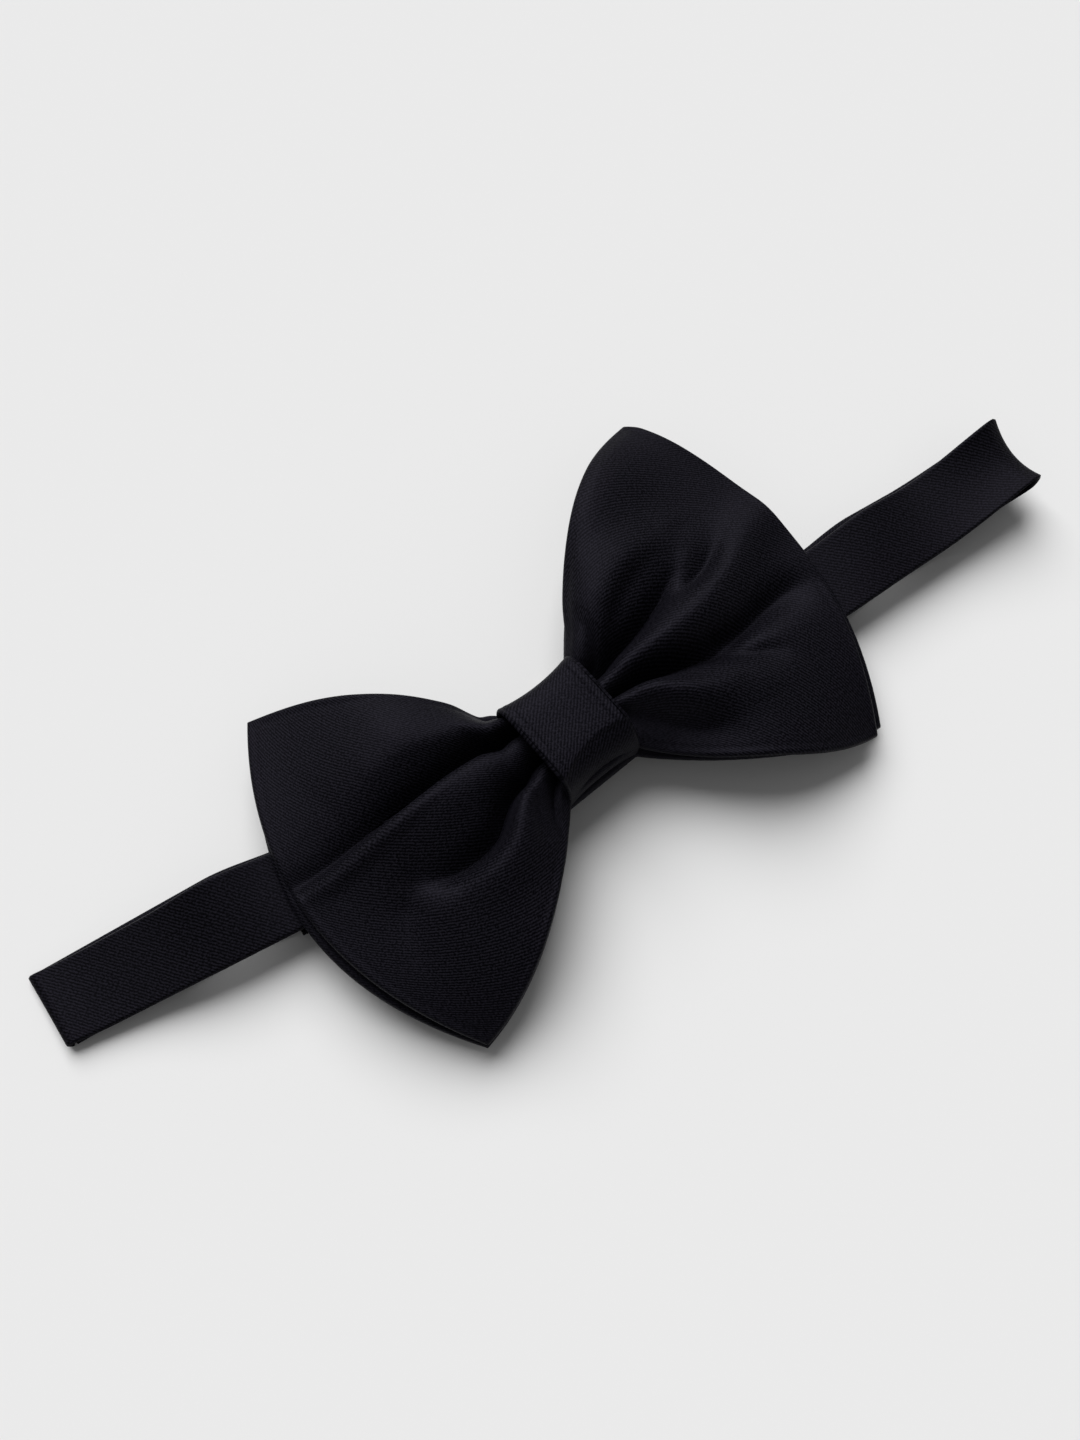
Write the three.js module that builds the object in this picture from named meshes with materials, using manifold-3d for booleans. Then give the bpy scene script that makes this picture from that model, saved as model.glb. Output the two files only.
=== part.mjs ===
// A ready-tied bow tie on an adjustable neckband, lying face up with the band hooked into a flat loop.
// Millimetres. +Z is up, out of the bow's front. +X runs along the neckband. The origin is the middle of
// the object's footprint, on the surface that it lies on.
import * as THREE from "three";
import { mergeVertices } from "three/addons/utils/BufferGeometryUtils.js";
import Module from "manifold-3d";

const wasm = await Module();
wasm.setup();

// Bow: two blades of the same outline, one on the other, each sewn from two panels round an interlining.
const BOW_TURN = THREE.MathUtils.degToRad(8.8); // the bow sits a little askew on its band
const WING = { left: { middle: 60, corner: 47 }, right: { middle: 64, corner: 51 } };
const WING_HALF_HEIGHT = 39.5;
const WING_CORNER_LIFT = 3.5; // both wings stand this far towards +Y
const WAIST_HALF_HEIGHT = 8.6;
const WAIST_SHARE = 0.2; // the part of each wing's length that the knot gathers
const PANEL = 0.6;
const INTERLINING = 1.0;
const LAYER_GAP = 0.3;
const BACK_WAIST_Z = 10.9;
const FRONT_ABOVE_BACK = 4.4;
const CORNER_DROOP = 6.5;
const WING_PUFF = 3.0;
const FRONT_PLEAT = 0.9; // height of the folds that run out from the knot
const BACK_PLEAT = 0.35;
const PLEATS = 2;

// Knot: a wrap of the same cloth round the waist, on an interlining of its own.
const KNOT_LENGTH = 18;
const KNOT_HALF_HEIGHT = 12;
const KNOT_BOTTOM_Z = 5.2;
const KNOT_TOP_Z = 21;
const KNOT_CORNER = 4;
const KNOT_CLOTH = 0.7;

// Neckband: a flat tube of cloth pressed on a fusible interlining, doubled into a loop.
const BAND_WIDTH = 16;
const BAND = 1.0;
const LEFT_FOLD_X = -109;
const RIGHT_FOLD_X = 114;
const LEFT_FOLD_RADIUS = 1.4; // this end is pressed flatter than the other
const RIGHT_FOLD_RADIUS = 3.4;
const FOLD_Y = 6.3;
const LOWER_Y = 4;
const UPPER_KNOT_Z = 8.4;
const UPPER_KNOT_Y = 0;
const LEFT_RISE_END_X = -83; // the upper layer has risen from the pressed end to its full height here
const LEFT_RUN_X = [-75, -40]; // the stretch of the upper layer that shortens as the band is tightened
const LONG_SIDE_START_X = 90;

// Closure: hook, eye and adjuster, 20 mm across, of 0.8 mm plate.
const PLATE = 0.8;
const FITTING_WIDTH = 20;
const FITTING_WALL = 1.6;
const BAR = 1.2;
const BAR_Z = 1.5; // middle height of each bar that the band wraps
const WRAP_TOP_Z = 2.5; // middle height of the cloth over such a bar
const EYE_BAR_X = -54;
const EYE_CATCH_X = -43.8;
const HOOK_BEND_X = -45;
const HOOK_BAR_X = -29;
const HOOK_WIDTH = 12;
const TONGUE = 3.4;
const TONGUE_RISE = THREE.MathUtils.degToRad(25); // also the way the eye slides out
const ADJUSTER_X = 8;
const ADJUSTER_LENGTH = 13;
const CLEAR = 0.3;

const SATIN = { color: "#15141b", roughness: 0.42, metalness: 0 };
const FELT = { color: "#d9d6cc", roughness: 0.95, metalness: 0 };
const THREAD = { color: "#0f0f14", roughness: 0.6, metalness: 0 };
const NICKEL = { color: "#b9b6ae", roughness: 0.25, metalness: 1 };

const object = new THREE.Group();
const bow = new THREE.Group();
bow.rotation.z = BOW_TURN;
object.add(bow);

function addPiece(group, name, geometry, finish) {
  const mesh = new THREE.Mesh(geometry, new THREE.MeshStandardMaterial(finish));
  mesh.name = name;
  group.add(mesh);
  return mesh;
}

function moveVertices(geometry, place) {
  const points = geometry.attributes.position;
  const at = new THREE.Vector3();
  for (let i = 0; i < points.count; i++) {
    at.fromBufferAttribute(points, i);
    place(at);
    points.setXYZ(i, at.x, at.y, at.z);
  }
  geometry.computeVertexNormals();
  return geometry;
}

function toSolid(geometry) {
  const bare = geometry.clone();
  bare.deleteAttribute("normal");
  bare.deleteAttribute("uv");
  const merged = mergeVertices(bare, 1e-4);
  return new wasm.Manifold(
    new wasm.Mesh({
      numProp: 3,
      vertProperties: new Float32Array(merged.attributes.position.array),
      triVerts: new Uint32Array(merged.index.array),
    }),
  );
}

function toGeometry(solid) {
  const mesh = solid.getMesh();
  const geometry = new THREE.BufferGeometry();
  geometry.setAttribute("position", new THREE.BufferAttribute(mesh.vertProperties, 3));
  geometry.setIndex(new THREE.BufferAttribute(mesh.triVerts, 1));
  geometry.computeVertexNormals();
  return geometry;
}

// ---- Bow ----

// Half the height of a wing at spread, which runs from 0 at the knot to 1 at the wing's edge.
function wingHalfHeight(spread) {
  const fan = 0.7 * Math.sin((spread * Math.PI) / 2) + 0.3 * spread;
  return THREE.MathUtils.lerp(WAIST_HALF_HEIGHT, WING_HALF_HEIGHT, fan);
}

// Middle surface of a blade: u runs from the left wing's edge (-1) to the right one's (1), v across (-1 to 1).
function bladePoint(u, v, front, out) {
  const along = Math.abs(u);
  const spread = THREE.MathUtils.clamp((along - WAIST_SHARE) / (1 - WAIST_SHARE), 0, 1);
  const wing = u < 0 ? WING.left : WING.right;
  const reach = THREE.MathUtils.lerp(wing.middle, wing.corner, v * v);
  const open = THREE.MathUtils.smoothstep(along, WAIST_SHARE, 0.5);
  const pleatHeight = front ? FRONT_PLEAT : BACK_PLEAT;
  const pleats = pleatHeight * Math.cos(PLEATS * Math.PI * v) * Math.sin(Math.PI * along) * open;
  const droop = CORNER_DROOP * Math.abs(v) ** 3 * spread ** 1.5;
  const height = BACK_WAIST_Z + pleats - droop;
  const puff = WING_PUFF * Math.sin(Math.PI * along) * (1 - v * v) * open;
  out.set(
    u * reach,
    v * wingHalfHeight(spread) + WING_CORNER_LIFT * spread,
    front ? height + FRONT_ABOVE_BACK + puff : height,
  );
}

// One layer of a blade: a sheet of the given thickness, lifted from the blade's middle surface.
function bladeLayer(front, lift, thickness, share) {
  const geometry = new THREE.BoxGeometry(2, 2, 1, 20, 10, 1);
  return moveVertices(geometry, (at) => {
    const side = at.z;
    bladePoint(at.x * share, at.y * share, front, at);
    at.z += lift + side * thickness;
  });
}

function addBlade(name, front) {
  const lift = (INTERLINING + PANEL) / 2 + LAYER_GAP;
  const inset = 0.96; // the interlining stops at the seam allowance
  addPiece(bow, `${name}_face`, bladeLayer(front, lift, PANEL, 1), SATIN);
  addPiece(bow, `${name}_interlining`, bladeLayer(front, 0, INTERLINING, inset), FELT);
  addPiece(bow, `${name}_lining`, bladeLayer(front, -lift, PANEL, 1), SATIN);
}

addBlade("back_blade", false);
addBlade("front_blade", true);

function roundedBox(path, halfWidth, low, high, radius) {
  path.moveTo(-halfWidth + radius, low);
  path.lineTo(halfWidth - radius, low);
  path.absarc(halfWidth - radius, low + radius, radius, -Math.PI / 2, 0);
  path.absarc(halfWidth - radius, high - radius, radius, 0, Math.PI / 2);
  path.absarc(-halfWidth + radius, high - radius, radius, Math.PI / 2, Math.PI);
  path.absarc(-halfWidth + radius, low + radius, radius, Math.PI, 1.5 * Math.PI);
  return path;
}

// A ring round the waist, extruded along the bow: its section lies across it.
function knotRing(inset, thickness, length) {
  const outer = inset;
  const inner = inset + thickness;
  const ring = roundedBox(
    new THREE.Shape(),
    KNOT_HALF_HEIGHT - outer,
    KNOT_BOTTOM_Z + outer,
    KNOT_TOP_Z - outer,
    KNOT_CORNER - outer,
  );
  ring.holes.push(
    roundedBox(
      new THREE.Path(),
      KNOT_HALF_HEIGHT - inner,
      KNOT_BOTTOM_Z + inner,
      KNOT_TOP_Z - inner,
      KNOT_CORNER - inner,
    ),
  );
  const geometry = new THREE.ExtrudeGeometry(ring, {
    depth: length,
    bevelEnabled: false,
    curveSegments: 5,
  });
  geometry.translate(0, 0, -length / 2);
  // The shape's x becomes Y, its y becomes Z, and the depth becomes X.
  geometry.applyMatrix4(new THREE.Matrix4().set(0, 0, 1, 0, 1, 0, 0, 0, 0, 1, 0, 0, 0, 0, 0, 1));
  return geometry;
}

addPiece(bow, "knot_wrap", knotRing(0, KNOT_CLOTH, KNOT_LENGTH), SATIN);
addPiece(bow, "knot_interlining", knotRing(KNOT_CLOTH + LAYER_GAP, INTERLINING, KNOT_LENGTH - 1), FELT);

// The thread that gathers the front blade's pleats, lying on them inside the knot.
function threadAlong(points, radius, steps) {
  const section = new THREE.Shape().absarc(0, 0, radius, 0, 2 * Math.PI);
  return new THREE.ExtrudeGeometry(section, {
    extrudePath: new THREE.CatmullRomCurve3(points),
    steps,
    bevelEnabled: false,
    curveSegments: 3,
  });
}

const THREAD_RADIUS = 0.3;
const gatherZ =
  BACK_WAIST_Z + FRONT_ABOVE_BACK + INTERLINING / 2 + PANEL + 2 * LAYER_GAP + THREAD_RADIUS;
const gatherPoints = [];
for (let i = 0; i <= 8; i++) {
  gatherPoints.push(new THREE.Vector3(i % 2 ? 0.8 : -0.8, (i - 4) * 1.8, gatherZ));
}
addPiece(bow, "waist_thread", threadAlong(gatherPoints, THREAD_RADIUS, 32), THREAD);

// Whip stitches that close the wrap under the knot.
const stitchPoints = [];
for (let i = 0; i <= 10; i++) {
  stitchPoints.push(new THREE.Vector3((i - 5) * 1.6, i % 2 ? 0.9 : -0.9, KNOT_BOTTOM_Z - 0.35));
}
addPiece(bow, "knot_back_stitch", threadAlong(stitchPoints, 0.22, 40), THREAD);

// ---- Neckband ----

// A strap whose side view follows a line of (x, z) points. It is BAND thick and BAND_WIDTH wide.
function strap(line, sideways) {
  const left = [];
  const right = [];
  line.forEach((point, i) => {
    const before = line[Math.max(i - 1, 0)];
    const after = line[Math.min(i + 1, line.length - 1)];
    const along = new THREE.Vector2().subVectors(after, before).normalize();
    const across = new THREE.Vector2(-along.y, along.x).multiplyScalar(BAND / 2);
    left.push(point.clone().add(across));
    right.push(point.clone().sub(across));
  });
  const side = new THREE.Shape([...left, ...right.reverse()]);
  const geometry = new THREE.ExtrudeGeometry(side, { depth: BAND_WIDTH, bevelEnabled: false });
  geometry.translate(0, 0, -BAND_WIDTH / 2);
  geometry.rotateX(Math.PI / 2);
  return moveVertices(geometry, (at) => {
    at.y += sideways(at.x, at.z);
  });
}

function arcPoints(x, z, radius, from, to, steps) {
  const points = [];
  for (let i = 0; i <= steps; i++) {
    const angle = THREE.MathUtils.lerp(from, to, i / steps);
    points.push(new THREE.Vector2(x + radius * Math.cos(angle), z + radius * Math.sin(angle)));
  }
  return points;
}

const lowerZ = BAND / 2;
const upperLeftZ = lowerZ + 2 * LEFT_FOLD_RADIUS;
const upperZ = lowerZ + 2 * RIGHT_FOLD_RADIUS;
const leftFoldMiddle = LEFT_FOLD_X + LEFT_FOLD_RADIUS + BAND / 2;
const rightFoldMiddle = RIGHT_FOLD_X - RIGHT_FOLD_RADIUS - BAND / 2;

function upperY(x) {
  const reach = x < 0 ? -LEFT_FOLD_X : RIGHT_FOLD_X;
  return UPPER_KNOT_Y + (FOLD_Y - UPPER_KNOT_Y) * (x / reach) ** 2;
}

// The two layers lie a little askew, so the band drifts sideways as it turns over at a fold.
function loopY(x, z) {
  const up = THREE.MathUtils.smoothstep(z, BAND, (x < 0 ? upperLeftZ : upperZ) - BAND / 2);
  return THREE.MathUtils.lerp(LOWER_Y, upperY(x), up);
}

function upperRun(from, to, steps) {
  const points = [];
  for (let i = 0; i <= steps; i++) {
    const x = THREE.MathUtils.lerp(from, to, i / steps);
    const nearKnot = 1 - THREE.MathUtils.smoothstep(Math.abs(x), 10, 40);
    const fromLeft = THREE.MathUtils.smoothstep(x, leftFoldMiddle, LEFT_RISE_END_X);
    const z = THREE.MathUtils.lerp(upperLeftZ, upperZ, fromLeft);
    points.push(new THREE.Vector2(x, THREE.MathUtils.lerp(z, UPPER_KNOT_Z, nearKnot)));
  }
  return points;
}

function foldArc(x, radius, from, to) {
  return arcPoints(x, lowerZ + radius, radius, from, to, 8);
}

const [leftRunStart, leftRunEnd] = LEFT_RUN_X;
const leftFold = [
  ...foldArc(leftFoldMiddle, LEFT_FOLD_RADIUS, -Math.PI / 2, -1.5 * Math.PI),
  ...upperRun(leftFoldMiddle + 3, leftRunStart, 8),
];
const rightFold = foldArc(rightFoldMiddle, RIGHT_FOLD_RADIUS, Math.PI / 2, -Math.PI / 2);
addPiece(object, "neckband_left_fold", strap(leftFold, loopY), SATIN);
addPiece(
  object,
  "neckband_left_run",
  strap(upperRun(leftRunStart + CLEAR, leftRunEnd - CLEAR, 4), loopY),
  SATIN,
);
const frontLine = [
  ...upperRun(leftRunEnd, rightFoldMiddle - 3, 14),
  ...rightFold,
  new THREE.Vector2(LONG_SIDE_START_X, lowerZ),
];
addPiece(object, "neckband_front", strap(frontLine, loopY), SATIN);

function flatRun(from, to, z = lowerZ) {
  return [new THREE.Vector2(from, z), new THREE.Vector2(to, z)];
}

const atLowerY = () => LOWER_Y;
const eyeLoopStart = EYE_BAR_X - 8;
const eyeLeadStart = eyeLoopStart - 8;
const shortEndStart = eyeLeadStart - 6;
const adjusterLeft = ADJUSTER_X - ADJUSTER_LENGTH / 2;
const adjusterRight = ADJUSTER_X + ADJUSTER_LENGTH / 2;
const hookLoopEnd = HOOK_BAR_X + 6;

addPiece(
  object,
  "short_side",
  strap(flatRun(leftFoldMiddle + CLEAR, shortEndStart), atLowerY),
  SATIN,
);
addPiece(
  object,
  "short_side_end",
  strap(flatRun(shortEndStart + CLEAR, eyeLeadStart), atLowerY),
  SATIN,
);
addPiece(
  object,
  "eye_lead",
  strap(flatRun(eyeLeadStart + CLEAR, eyeLoopStart), atLowerY),
  SATIN,
);
addPiece(
  object,
  "long_side",
  strap(flatRun(adjusterRight + CLEAR, LONG_SIDE_START_X - CLEAR), atLowerY),
  SATIN,
);

// A strap end wrapped round a bar: under it, round its far side and back over it. toward is 1 when the
// bar is at the right-hand end of the strap and -1 when it is at the left-hand end.
function wrapLine(barX, toward, underLength, overLength, overZ) {
  const turn = (WRAP_TOP_Z - lowerZ) / 2;
  const centre = barX + toward * (BAR / 2 - 0.2);
  const arc = arcPoints(centre, BAR_Z, turn, -Math.PI / 2, Math.PI / 2, 6).map(
    (p) => new THREE.Vector2(centre + toward * (p.x - centre), p.y),
  );
  return [
    new THREE.Vector2(barX - toward * underLength, lowerZ),
    ...arc,
    new THREE.Vector2(barX - toward * 1.6, WRAP_TOP_Z),
    new THREE.Vector2(barX - toward * 3.4, overZ),
    new THREE.Vector2(barX - toward * overLength, overZ),
  ];
}

const onStrapZ = BAND * 1.5 + 0.1; // a second layer lying on the lower one
addPiece(
  object,
  "eye_loop",
  strap(wrapLine(EYE_BAR_X, 1, 8 - CLEAR, 7.5, onStrapZ), atLowerY),
  SATIN,
);
addPiece(
  object,
  "hook_loop",
  strap(wrapLine(HOOK_BAR_X, -1, 6, 6, onStrapZ), atLowerY),
  SATIN,
);

// The doubled stretch between hook and adjuster: the sewn end below, the running strap above.
addPiece(
  object,
  "sewn_run",
  strap(flatRun(hookLoopEnd + CLEAR, adjusterLeft + 1.7), atLowerY),
  SATIN,
);
const overBarZ = WRAP_TOP_Z + BAND + 0.1;
const runningLine = [
  new THREE.Vector2(hookLoopEnd + CLEAR, onStrapZ),
  new THREE.Vector2(adjusterLeft - 2, onStrapZ),
  new THREE.Vector2(adjusterLeft - 0.4, WRAP_TOP_Z),
];
addPiece(object, "running_strap", strap(runningLine, atLowerY), SATIN);

// The running strap over the adjuster's middle bar and down through its far slot.
const overLine = [
  new THREE.Vector2(adjusterLeft, WRAP_TOP_Z + 0.05),
  new THREE.Vector2(ADJUSTER_X - 3.4, WRAP_TOP_Z + 0.35),
  new THREE.Vector2(ADJUSTER_X - 1.6, overBarZ),
  new THREE.Vector2(ADJUSTER_X + 0.9, overBarZ),
  new THREE.Vector2(ADJUSTER_X + 2.3, overBarZ - 1.0),
  new THREE.Vector2(ADJUSTER_X + 3.6, lowerZ + 0.6),
  new THREE.Vector2(ADJUSTER_X + 4.6, lowerZ),
  new THREE.Vector2(adjusterRight, lowerZ),
];
addPiece(object, "adjuster_over_strap", strap(overLine, atLowerY), SATIN);

// The sewn end round the adjuster's middle bar.
const sewnEnd = [
  new THREE.Vector2(adjusterLeft + 2, lowerZ),
  ...arcPoints(ADJUSTER_X + 0.4, BAR_Z, 1, -Math.PI / 2, Math.PI / 2, 6),
  new THREE.Vector2(ADJUSTER_X - 1.2, WRAP_TOP_Z - 0.05),
];
addPiece(object, "adjuster_sewn_end", strap(sewnEnd, atLowerY), SATIN);

// ---- Closure ----

function plateShape(length, width, radius) {
  const shape = new THREE.Shape();
  const x = length / 2;
  const y = width / 2;
  shape.moveTo(-x + radius, -y);
  shape.lineTo(x - radius, -y);
  shape.absarc(x - radius, -y + radius, radius, -Math.PI / 2, 0);
  shape.absarc(x - radius, y - radius, radius, 0, Math.PI / 2);
  shape.absarc(-x + radius, y - radius, radius, Math.PI / 2, Math.PI);
  shape.absarc(-x + radius, -y + radius, radius, Math.PI, 1.5 * Math.PI);
  return shape;
}

// A plate with a slot cut between each pair of x values, lying at the height of the bars.
function slottedPlate(shape, slots) {
  const geometry = new THREE.ExtrudeGeometry(shape, {
    depth: PLATE,
    bevelEnabled: false,
    curveSegments: 4,
  });
  let solid = toSolid(geometry.translate(0, 0, BAR_Z - PLATE / 2));
  for (const [from, to] of slots) {
    const cutter = new THREE.BoxGeometry(to - from, FITTING_WIDTH - 2 * FITTING_WALL, 2 * PLATE);
    solid = solid.subtract(toSolid(cutter.translate((from + to) / 2, 0, BAR_Z)));
  }
  return solid;
}

const eyeFar = EYE_CATCH_X + BAR / 2;
const eyeNear = EYE_BAR_X - BAR / 2;
const eyeLength = eyeFar - eyeNear;
const eyeSolid = slottedPlate(plateShape(eyeLength, FITTING_WIDTH, 1.2), [
  [-eyeLength / 2 + BAR, eyeLength / 2 - BAR],
]);
const eye = addPiece(object, "eye", toGeometry(eyeSolid), NICKEL);
eye.position.set((eyeFar + eyeNear) / 2, LOWER_Y, 0);

const slotOuter = ADJUSTER_LENGTH / 2 - 1.5;
const adjusterSolid = slottedPlate(plateShape(ADJUSTER_LENGTH, FITTING_WIDTH, 1.5), [
  [-slotOuter, -BAR / 2],
  [BAR / 2, slotOuter],
]);
const adjuster = addPiece(object, "adjuster", toGeometry(adjusterSolid), NICKEL);
adjuster.position.set(ADJUSTER_X, LOWER_Y, 0);

// The hook: a strap bar with its slot, a plate stepped down under the eye, and a tongue bent back over it.
function hookGeometry() {
  const low = 0.1;
  const half = PLATE / 2;
  const plateZ = low + half;
  const tongueZ = BAR_Z + half + 0.2 + half;
  const stepTo = HOOK_BAR_X - 5;
  const line = [
    new THREE.Vector2(
      HOOK_BEND_X + TONGUE * Math.cos(TONGUE_RISE),
      tongueZ + TONGUE * Math.sin(TONGUE_RISE),
    ),
    new THREE.Vector2(HOOK_BEND_X, tongueZ),
    new THREE.Vector2(HOOK_BEND_X - 0.7, (tongueZ + plateZ) / 2),
    new THREE.Vector2(HOOK_BEND_X, plateZ),
    new THREE.Vector2(stepTo - 2, plateZ),
    new THREE.Vector2(stepTo, BAR_Z),
    new THREE.Vector2(stepTo + 1.4, BAR_Z),
  ];
  const above = [];
  const below = [];
  line.forEach((point, i) => {
    const before = line[Math.max(i - 1, 0)];
    const after = line[Math.min(i + 1, line.length - 1)];
    const along = new THREE.Vector2().subVectors(after, before).normalize();
    const across = new THREE.Vector2(-along.y, along.x).multiplyScalar(half);
    above.push(point.clone().add(across));
    below.push(point.clone().sub(across));
  });
  const tongue = new THREE.ExtrudeGeometry(new THREE.Shape([...above, ...below.reverse()]), {
    depth: HOOK_WIDTH,
    bevelEnabled: false,
  });
  tongue.translate(0, 0, -HOOK_WIDTH / 2);
  tongue.rotateX(Math.PI / 2);
  const frameLeft = stepTo + 0.4;
  const frameRight = HOOK_BAR_X + BAR / 2;
  const frameLength = frameRight - frameLeft;
  const frame = slottedPlate(plateShape(frameLength, FITTING_WIDTH, 1.2), [
    [-frameLength / 2 + 1.4, frameLength / 2 - BAR],
  ]).translate((frameLeft + frameRight) / 2, 0, 0);
  return toGeometry(toSolid(tongue).add(frame));
}
const hook = addPiece(object, "hook", hookGeometry(), NICKEL);
hook.position.y = LOWER_Y;

// Bartacks: a dense bar of thread through both layers of each sewn end.
function bartack(name, x, z) {
  const geometry = new THREE.CapsuleGeometry(0.45, 10, 4, 8);
  geometry.scale(1, 1, 0.5);
  const mesh = addPiece(object, name, geometry, THREAD);
  mesh.position.set(x, LOWER_Y, z);
  return mesh;
}
bartack("eye_bartack", EYE_BAR_X - 5.6, onStrapZ + BAND / 2 + 0.3);

// Put the origin under the middle of the footprint.
const box = new THREE.Box3().setFromObject(object, true);
const middle = box.getCenter(new THREE.Vector3());
object.position.set(-middle.x, -middle.y, -box.min.z);

export default object;
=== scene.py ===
"""A ready-tied black satin bow tie on an adjustable neckband, laid face up on a pale table.

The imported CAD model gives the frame, the bodies and the joints. This script builds the cloth over it, dresses
every piece and sets the table, the light and the camera. Lengths are in metres unless a name ends in _mm.
"""
import logging
import math
from dataclasses import dataclass
from enum import Enum

import bmesh
import bpy
import numpy as np
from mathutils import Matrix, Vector


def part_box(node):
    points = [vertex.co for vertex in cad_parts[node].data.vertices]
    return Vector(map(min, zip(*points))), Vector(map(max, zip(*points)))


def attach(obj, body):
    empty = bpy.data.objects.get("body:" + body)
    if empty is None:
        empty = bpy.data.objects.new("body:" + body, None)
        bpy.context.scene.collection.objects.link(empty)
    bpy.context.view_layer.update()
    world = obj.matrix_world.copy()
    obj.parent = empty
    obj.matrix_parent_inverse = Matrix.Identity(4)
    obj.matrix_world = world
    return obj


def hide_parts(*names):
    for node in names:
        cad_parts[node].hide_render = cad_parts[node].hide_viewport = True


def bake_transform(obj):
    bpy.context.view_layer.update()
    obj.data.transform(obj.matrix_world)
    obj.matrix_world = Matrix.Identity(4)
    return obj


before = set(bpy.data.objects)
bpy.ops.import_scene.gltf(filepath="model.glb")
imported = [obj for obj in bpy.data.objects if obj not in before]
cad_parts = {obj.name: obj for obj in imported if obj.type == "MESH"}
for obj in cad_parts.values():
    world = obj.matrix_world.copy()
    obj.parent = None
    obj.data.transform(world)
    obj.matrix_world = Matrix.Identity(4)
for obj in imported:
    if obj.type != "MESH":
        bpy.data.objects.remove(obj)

LOG = logging.getLogger("bow_tie")
MM = 0.001
BOW_TURN = math.radians(8.8)
BLADE_FLAT_MM = (120.0, 79.0)  # a blade's length and width where the weave is laid out flat
WAVE_PERIOD = math.pi / 10  # the wave texture's own period at a scale of 1
WEAVE_UV = "Weave"
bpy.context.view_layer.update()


class Layer(Enum):
    """Which of the bow's two stacked blades."""

    FRONT = "front"
    BACK = "back"


class Wing(Enum):
    """Which wing of the bow, by the sign of its direction along the bow's length."""

    LEFT = -1
    RIGHT = 1


# ---- Small helpers ----


def smoothstep(low: float, high: float, x: np.ndarray) -> np.ndarray:
    """Rise smoothly from 0 at low to 1 at high.

    Args:
        low: Where the rise starts.
        high: Where the rise ends.
        x: Values to map.

    Returns:
        The eased share of the rise at each value.
    """
    share = np.clip((x - low) / (high - low), 0.0, 1.0)
    return share * share * (3.0 - 2.0 * share)


def bell(x: np.ndarray, middle: float, width: float) -> np.ndarray:
    """Give 1 at the middle, falling smoothly to 0 on both sides."""
    return np.exp(-(((x - middle) / width) ** 2))


def lerp(a: float, b: float, share: np.ndarray) -> np.ndarray:
    """Blend from a to b."""
    return a + (b - a) * share


def curve(points: tuple[tuple[float, float], ...], steps: int = 72) -> np.ndarray:
    """Draw a smooth curve through a few given points.

    Args:
        points: The points, in order.
        steps: Number of points on the finished curve.

    Returns:
        The curve's points, evenly spaced in the rank of the given points.
    """
    given = np.array(points, float)
    ends_added = np.vstack([2 * given[0] - given[1], given, 2 * given[-1] - given[-2]])
    rank = np.linspace(0, len(given) - 1, steps)
    low = np.minimum(rank.astype(int), len(given) - 2)
    t = (rank - low)[:, None]
    before, start, end, after = (ends_added[low + i] for i in range(4))
    bend = 2 * before - 5 * start + 4 * end - after
    turn = 3 * start - before - 3 * end + after
    return 0.5 * (2 * start + (end - before) * t + bend * t**2 + turn * t**3)


def soften(values: np.ndarray) -> np.ndarray:
    """Average each row of a grid with its two neighbours, and hold the first and the last."""
    held = np.concatenate([values[:1], values, values[-1:]])
    return (held[:-2] + 2 * held[1:-1] + held[2:]) / 4


def linear(hex_colour: str) -> tuple[float, float, float, float]:
    """Turn an sRGB hex colour into the linear RGBA that shader sockets take.

    Args:
        hex_colour: The colour as "#rrggbb".

    Returns:
        Linear red, green and blue, with an alpha of 1.
    """
    values = [int(hex_colour[i : i + 2], 16) / 255 for i in (1, 3, 5)]
    rgb = [v / 12.92 if v <= 0.04045 else ((v + 0.055) / 1.055) ** 2.4 for v in values]
    return (*rgb, 1.0)


def empty_material(name: str) -> tuple[bpy.types.Material, bpy.types.NodeTree]:
    """Make a material whose node tree is empty, and give both."""
    made = bpy.data.materials.new(name)
    made.use_nodes = True
    made.node_tree.nodes.clear()
    return made, made.node_tree


def add_node(
    tree: bpy.types.NodeTree,
    kind: str,
    settings: dict[str, object] | None = None,
    inputs: dict[str | int, object] | None = None,
) -> bpy.types.Node:
    """Add a shader node, set its properties, and fill or link its inputs.

    Args:
        tree: The node tree.
        kind: The node's type name.
        settings: Property names and values.
        inputs: Input names or numbers, each with a value or with the output socket to link.

    Returns:
        The new node.
    """
    node = tree.nodes.new(kind)
    for name, value in (settings or {}).items():
        setattr(node, name, value)
    for name, value in (inputs or {}).items():
        if isinstance(value, bpy.types.NodeSocket):
            tree.links.new(value, node.inputs[name])
        else:
            node.inputs[name].default_value = value
    return node


def new_mesh(
    name: str,
    points: np.ndarray,
    faces: list[tuple[int, ...]],
    weave: np.ndarray | None = None,
) -> bpy.types.Object:
    """Make a smooth-shaded mesh object, with a map of the cloth's own grain if it has one.

    Args:
        name: The object's name.
        points: Vertex positions, one row each, in metres.
        faces: Vertex numbers of each face.
        weave: Position on the flat cloth of each vertex, in metres, along and across the warp.

    Returns:
        The linked object.
    """
    mesh = bpy.data.meshes.new(name)
    mesh.from_pydata(points.tolist(), [], faces)
    mesh.update()
    mesh.shade_smooth()
    if weave is not None:
        layer = mesh.uv_layers.new(name=WEAVE_UV)
        corners = np.zeros(len(mesh.loops), np.int32)
        mesh.loops.foreach_get("vertex_index", corners)
        layer.data.foreach_set("uv", weave[corners].astype(np.float32).ravel())
    made = bpy.data.objects.new(name, mesh)
    bpy.context.scene.collection.objects.link(made)
    return made


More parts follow.
